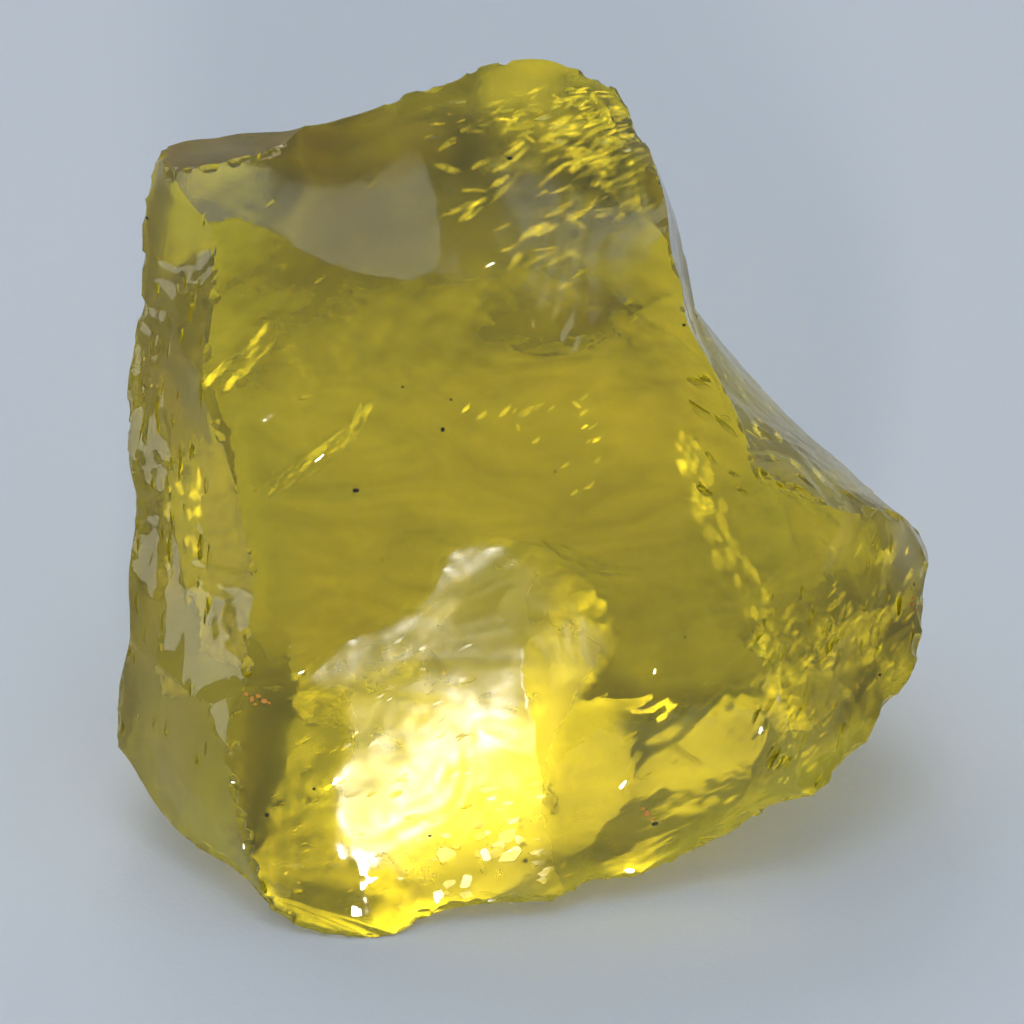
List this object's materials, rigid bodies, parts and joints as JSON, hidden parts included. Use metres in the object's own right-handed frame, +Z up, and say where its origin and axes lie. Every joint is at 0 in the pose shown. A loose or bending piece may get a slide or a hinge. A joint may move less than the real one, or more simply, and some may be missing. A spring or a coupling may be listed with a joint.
{
  "type": "raw topaz",
  "caption": "Rough chipped piece of clear yellow topaz with glassy conchoidal faces and sharp ridges, resting on a flat facet.",
  "frame": {"origin": "on the surface the stone rests on, under the middle of its box", "axes": "+Z up; the large front face looks towards -Y; +X to the right as seen from the front, towards the low lobe"},
  "size_m": [0.0306, 0.0202, 0.026],
  "materials": {
    "topaz": "clear yellow, glassy fracture faces with fine ripples and chipped ridges"
  },
  "bodies": {
    "root": {"raw_topaz": "topaz"}
  },
  "joints": []
}
